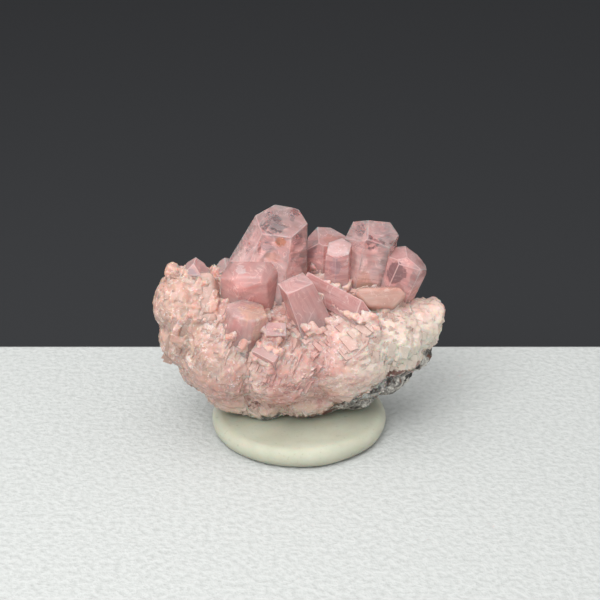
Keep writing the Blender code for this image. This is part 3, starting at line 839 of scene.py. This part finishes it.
def sink_rhomb(shapes, grains, place, normal, size, sunk):
    """Adds a rhomb that lies as the nearest grain does, its middle sunk by this share of its size."""
    turn = min(grains, key=lambda grain: (grain[0] - place).length)[1]
    add_rhomb(shapes, place - normal * size * sunk, turn @ random_turn(RHOMB_STRAY), size)


def rhomb_crowd(shapes, ground, rock, grains):
    """Small rhombs sunk all over the crust, apart from where the rock shows."""
    centre = Vector(MIDDLE)
    for count, smallest, largest, sunk in RHOMB_BANDS:
        for _ in range(count):
            outward = Vector([random.gauss(0, 1) for _ in range(3)]).normalized()
            place, normal, _, _ = ground.ray_cast(centre + outward * FAR, -outward)
            size = random.uniform(smallest, largest)
            if place is None or depth_in(rock, place) > -ROCK_MARGIN * size:
                continue
            if abs(place.x) > SMALL_BEYOND:
                size = min(size, smallest)
            sink_rhomb(shapes, grains, place, normal, size, sunk)


def around_feet(ground, tries, rise):
    """Places on the crystals' sides, near where they leave the crust, with their normals. Few are high up."""
    found = []
    for spec in CRYSTALS:
        shape = crystal_mesh(spec, EDGE_WEAR)
        tree = BVHTree.FromBMesh(shape)
        shape.free()
        frame = column_frame(spec)
        highest = rise * COLLAR_RISES.get(spec.name, 1.0)
        for _ in range(tries):
            outward = frame.to_3x3() @ direction(random.uniform(0, 360), 90)
            start = frame @ Vector((0, 0, random.uniform(*FEET))) + outward * FAR
            place, normal, _, _ = tree.ray_cast(start, -outward)
            if place is not None and COLLAR_FROM < -depth_in(ground, place) < highest * random.random():
                found.append((place, normal))
    return found


def add_rhomb(shapes, place, turn, size):
    """Adds a skewed box to shapes, a pair of corner and face lists."""
    corners, faces = shapes
    stretch = Matrix.Diagonal((random.uniform(*RHOMB_LENGTHS), random.uniform(*RHOMB_WIDTHS), RHOMB_HEIGHT))
    matrix = Matrix.Translation(place) @ (turn @ RHOMB_SHEAR @ stretch).to_4x4()
    first = len(corners)
    corners += [matrix @ (Vector(corner) * size) for corner in BOX_CORNERS]
    faces += [[first + index for index in face] for face in BOX_FACES]


def mesh_of(name, shapes, scale=1.0):
    """The mesh of a pair of corner and face lists."""
    mesh = bpy.data.meshes.new(name)
    mesh.from_pydata([corner * scale for corner in shapes[0]], [], shapes[1])
    return mesh


def make_crust():
    """The crust's skin, and the small sharp rhombs that stand out of it."""
    random.seed(RHOMB_SEED)
    lobes = [(x, y, z, *(half + CRUST_SWELL for half in halves)) for x, y, z, *halves in CRUST_LOBES]
    ground, rock = lobes_tree(lobes), lobes_tree(ROCK_LOBES)
    bm = bmesh.new()
    add_lobes(bm, lobes)
    grains = make_grains()
    collars = ([], [])
    for place, normal in around_feet(ground, COLLAR_TRIES, COLLAR_RISE):
        sink_rhomb(collars, grains, place, normal, random.uniform(*COLLAR_SIZE), COLLAR_SUNK)
    bm.from_mesh(mesh_of("collars", collars))
    for spec in CRYSTALS:
        if spec.look == "crust":
            fused = bpy.data.meshes.new(spec.name)
            shape = crystal_mesh(spec, spec.worn or EDGE_WEAR)
            shape.to_mesh(fused)
            shape.free()
            bm.from_mesh(fused)
    crust = object_from(bm, "sugary_crust", smooth=True)
    one_skin(crust, CRUST_VOXEL)

    def relief(place):
        return sum(noise.noise(place * often + Vector(start)) * high for often, high, start in CRUST_RELIEF)

    move_points(crust.data, relief)
    rest_on_pad(crust.data)
    crust.data.shade_smooth()
    shapes = ([], [])
    rhomb_crowd(shapes, ground, rock, grains)
    for place, normal in around_feet(ground, CHIP_TRIES, COLLAR_RISE * CHIP_RISE):
        sink_rhomb(shapes, grains, place, normal, random.uniform(*CHIP_SIZE), CHIP_SUNK)
    rhombs = in_scene("sugar_rhombs", mesh_of("sugar_rhombs", shapes, MM))
    dress(crust, crust_finish("sugary_calcite", clear=0.0, milky=0.7))
    dress(rhombs, crust_finish("rhomb_calcite", clear=0.12, milky=0.0))
    return [crust, rhombs]


def make_rock():
    """The chip of host rock, with its broken faces."""
    bm = bmesh.new()
    add_lobes(bm, ROCK_LOBES)
    rock = object_from(bm, "grey_matrix")
    one_skin(rock, ROCK_VOXEL)

    def relief(place):
        steps = noise.cell(place * ROCK_STEPS[0]) * ROCK_STEPS[1]
        swells = noise.noise(place * ROCK_SWELLS[0]) * ROCK_SWELLS[1]
        grain = noise.fractal(place * ROCK_GRAIN[0], *ROCK_OCTAVES) * ROCK_GRAIN[1]
        return steps + swells + grain - ROCK_SLIM

    move_points(rock.data, relief)
    rest_on_pad(rock.data)
    rock.data.shade_smooth()
    dress(rock, rock_finish())
    return rock


def pad_profile():
    """The pad's half section, from its underside's centre over the rim to its top's centre."""
    flat = PAD_RADIUS - PAD_EDGE
    across = [flat * i / PAD_RINGS for i in range(PAD_RINGS + 1)]
    profile = [(x, 0.0) for x in across]
    for i in range(1, PAD_RIM_STEPS):
        angle = math.pi * (i / PAD_RIM_STEPS - 0.5)
        profile.append((flat + PAD_EDGE * math.cos(angle), PAD_HEIGHT / 2 * (1 + math.sin(angle))))
    return profile + [(x, PAD_HEIGHT) for x in reversed(across)]


def level_noise(place, often, layer):
    """Noise that varies in X and Y alone. Each layer is another pattern."""
    return noise.noise(Vector((place.x * often, place.y * often, layer)))


def make_pad():
    """The pad, pressed a little out of round and out of level."""
    bm = bmesh.new()
    verts = [bm.verts.new((x, 0, z)) for x, z in pad_profile()]
    for first, second in zip(verts, verts[1:]):
        bm.edges.new((first, second))
    pad = object_from(bm, "pressed_putty", smooth=True)
    turn = pad.modifiers.new("turned", "SCREW")
    turn.steps = turn.render_steps = PAD_SEGMENTS
    turn.use_merge_vertices = True
    turn.merge_threshold = PAD_WELD
    turn.use_normal_calculate = True
    bake(pad)
    for vertex in pad.data.vertices:
        place = vertex.co / MM
        share = min(1.0, max(0.0, place.z / PAD_HEIGHT))
        around = 1 + PAD_SWAY[1] * level_noise(place, PAD_SWAY[0], 7.0)
        vertex.co.x *= around
        vertex.co.y *= around
        vertex.co.z += level_noise(place, PAD_WAVES[0], 3.0) * PAD_WAVES[1] * share * MM
    pad.data.shade_smooth()
    dress(pad, putty_finish())
    return pad


def map_growth(bm, spec):
    """A UV map in millimetres: V runs along the column, and U around it."""
    inward = column_frame(spec).inverted()
    layer = bm.loops.layers.uv.new("growth")
    for face in bm.faces:
        for loop in face.loops:
            x, y, z = inward @ loop.vert.co
            loop[layer].uv = (math.atan2(y, x) * spec.width / 2, z)


def strew_flakes(spec, count, shapes):
    """Adds thin flakes inside a crystal, along a few planes, each to one of the meshes of shapes."""
    bm = crystal_mesh(spec, EDGE_WEAR)
    tree = BVHTree.FromBMesh(bm)
    spans = [(min(side), max(side)) for side in zip(*(vertex.co for vertex in bm.verts))]
    bm.free()
    frame = column_frame(spec).to_3x3()
    leans = [frame @ direction(azimuth, lean) for azimuth, lean in FLAKE_LEANS]
    made = 0
    while made < count:
        place = Vector([random.uniform(*span) for span in spans])
        if not inside(tree, place):
            continue
        made += 1
        lean = random.choice(leans)
        turn = lean.to_track_quat("Z", "Y").to_matrix() @ random_turn(FLAKE_STRAY)
        add_flake(random.choice(shapes), tree, place, turn, random.uniform(*FLAKE_SIZE))


def add_flake(bm, tree, place, turn, size):
    """Adds one flake round the place, its corners drawn in until they are inside."""

    def corner(angle, reach):
        return place + turn @ Vector((math.cos(angle) * reach, math.sin(angle) * reach * FLAKE_NARROW, 0))

    corners = random.randint(*FLAKE_CORNERS)
    start = random.uniform(0, math.tau)
    rim = []
    for i in range(corners):
        angle = start + math.tau * (i + random.uniform(-FLAKE_UNEVEN, FLAKE_UNEVEN)) / corners
        reach = size * random.uniform(*FLAKE_REACH)
        while not inside(tree, corner(angle, reach)) and reach > FLAKE_LEAST:
            reach *= FLAKE_SHRINK
        rim.append(corner(angle, reach))
    lift = turn @ Vector((0, 0, FLAKE_THICK))
    low = [bm.verts.new(point) for point in rim]
    high = [bm.verts.new(point + lift) for point in rim]
    bm.faces.new(low[::-1])
    bm.faces.new(high)
    for i in range(corners):
        after = (i + 1) % corners
        bm.faces.new((low[i], low[after], high[after], high[i]))


def make_heart(spec):
    """The milky heart: the crystal again, drawn in and eaten away unevenly."""
    shape = crystal_mesh(spec, EDGE_WEAR)
    outside = BVHTree.FromBMesh(shape)
    heart = object_from(shape, f"heart_{spec.name}")
    one_skin(heart, HEART_VOXEL)
    inward = column_frame(spec).inverted()
    length = (Vector(spec.tip) - Vector(spec.foot)).length
    top = HEARTS[spec.look][2] * length

    def relief(place):
        height = (inward @ place).z
        fade = max(0.0, (height - top) / (length - top)) * spec.width * HEART_TAPER
        ragged = sum(abs(noise.noise(place * often)) * deep for often, deep in HEART_RELIEF)
        return -HEART_SKIN - ragged - fade

    move_points(heart.data, relief)
    for vertex in heart.data.vertices:
        near, normal, _, _ = outside.find_nearest(vertex.co / MM)
        if (vertex.co / MM - near).dot(normal) > -HEART_SKIN:
            vertex.co = (near - normal * HEART_SKIN) * MM
    heart.data.shade_smooth()
    return heart


def make_crystals():
    """Every crystal but the crusty one, the milky hearts, and the veils of flakes that they share."""
    hearts = {key: heart_finish(f"heart_{key}", *values[:2]) for key, values in HEARTS.items()}
    # the bevels' finishes, whitened as a painted edge highlight
    edges = {key: gem_finish(f"edge_{key}", *values, [], *PLAIN, EDGE_PAINTED_HIGHLIGHT) for key, values in LOOKS.items()}
    made = []
    for spec in CRYSTALS:
        if spec.look == "crust":
            continue
        bm = crystal_mesh(spec, spec.worn or EDGE_WEAR)
        map_growth(bm, spec)
        crystal = object_from(bm, f"crystal_{spec.name}", smooth=spec.worn > ROUNDED)
        # marks, some of them painted dark windows
        marks, lined = MARKS_AND_PAINTED_WINDOWS.get(spec.name, []), LINED.get(spec.name, PLAIN)
        finish = gem_finish(f"calcite_{spec.name}", *LOOKS[spec.look], marks, *lined, 0.0)
        crystal.data.materials.append(finish)
        crystal.data.materials.append(edges[spec.look])
        made.append(crystal)
        if spec.look in hearts:
            heart = make_heart(spec)
            dress(heart, hearts[spec.look])
            made.append(heart)
    random.seed(SEED)
    flakes = {key: bmesh.new() for key in FLAKE_TINTS}
    for spec in CRYSTALS:
        if spec.look in FLAKES:
            strew_flakes(spec, FLAKES[spec.look], list(flakes.values()))
    for key, shapes in flakes.items():
        veils = object_from(shapes, f"veils_{key}")
        dress(veils, flake_finish(f"veil_{key}", *FLAKE_TINTS[key]))
        made.append(veils)
    return made


# ---------------- stage
def aim(obj, place, target):
    """Puts the object at the place and turns its -Z to the target."""
    obj.location = Vector(place) * MM
    towards = (Vector(target) - Vector(place)).normalized()
    obj.rotation_euler = towards.to_track_quat("-Z", "Y").to_euler()


def make_camera():
    """The camera at the photograph's angle and framing."""
    camera = in_scene("camera", bpy.data.cameras.new("camera"))
    camera.data.lens = CAMERA_LENS
    camera.data.sensor_width = CAMERA_SENSOR
    camera.data.clip_start = CAMERA_NEAR
    camera.location = Vector(CAMERA_PLACE) * MM
    camera.rotation_euler = (math.radians(90 - CAMERA_PITCH), 0, 0)
    bpy.context.scene.camera = camera


def make_light(name, place, size, power):
    """A round soft light aimed at the specimen."""
    light = bpy.data.lights.new(name, "AREA")
    light.shape = "DISK"
    light.size = size * MM
    light.energy = power
    obj = in_scene(name, light)
    obj.visible_glossy = size > GLARE_BELOW
    aim(obj, place, LIT_PLACE)


def make_floor():
    """A plain pale slab, and a dark table under it that fills the background."""
    bm = bmesh.new()
    middle = (0, (FLOOR_FRONT + FLOOR_BACK) / 2, -FLOOR_THICK / 2)
    sides = (FLOOR_WIDTH, FLOOR_BACK - FLOOR_FRONT, FLOOR_THICK)
    bmesh.ops.create_cube(bm, size=1, matrix=Matrix.LocRotScale(middle, None, sides))
    bmesh.ops.bevel(bm, geom=bm.edges[:], offset=FLOOR_ROUND, segments=3, profile=0.5, affect="EDGES")
    floor = object_from(bm, "pale_floor")
    look = Surface("pale_floor")
    grain = look.noise(0.45, detail=3)
    look.drive("Base Color", look.ramp(grain, FLOOR_GREYS))
    look.set(Roughness=0.9)
    look.drive("Normal", look.bump(grain, 0.3, 0.5))
    dress(floor, look.material)
    bm = bmesh.new()
    below = Matrix.Translation((0, 0, -FLOOR_THICK - TABLE_BELOW))
    bmesh.ops.create_grid(bm, x_segments=1, y_segments=1, size=TABLE_HALF, matrix=below)
    table = object_from(bm, "dark_table")
    look = Surface("dark_table")
    look.set(Base_Color=TABLE_BLACK, Roughness=1.0, Specular_IOR_Level=0.0)
    dress(table, look.material)


def make_world():
    """Even light from the front, the sides and above, and a dim room behind."""
    world = bpy.data.worlds.new("light_tent")
    tent = Nodes(world)
    split = tent.node("ShaderNodeSeparateXYZ", {0: tent.node("ShaderNodeTexCoord").outputs["Generated"]})
    span = {"Value": split.outputs["Y"], "From Min": TENT_BACK[0], "From Max": TENT_BACK[1]}
    fade = tent.node("ShaderNodeMapRange", {**span, "To Min": 1.0, "To Max": TENT_DIM})
    background = tent.tree.nodes["Background"]
    tent.feed(background.inputs["Color"], TENT)
    tent.feed(background.inputs["Strength"], fade.outputs["Result"])
    bpy.context.scene.world = world


def main():
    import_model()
    make_camera()
    crust = make_crust()
    crystals = make_crystals()
    rock = make_rock()
    pad = make_pad()
    for piece in [rock, pad, *crust, *crystals]:
        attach(piece, "root")
    for piece in [*crust, *crystals]:
        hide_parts("calcite_crystals")
    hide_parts("host_rock")
    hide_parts("putty_pad")
    make_floor()
    make_world()
    for name, place, size, power in LIGHTS:
        make_light(name, place, size, power)
    bpy.context.scene.view_settings.view_transform = "Standard"


main()
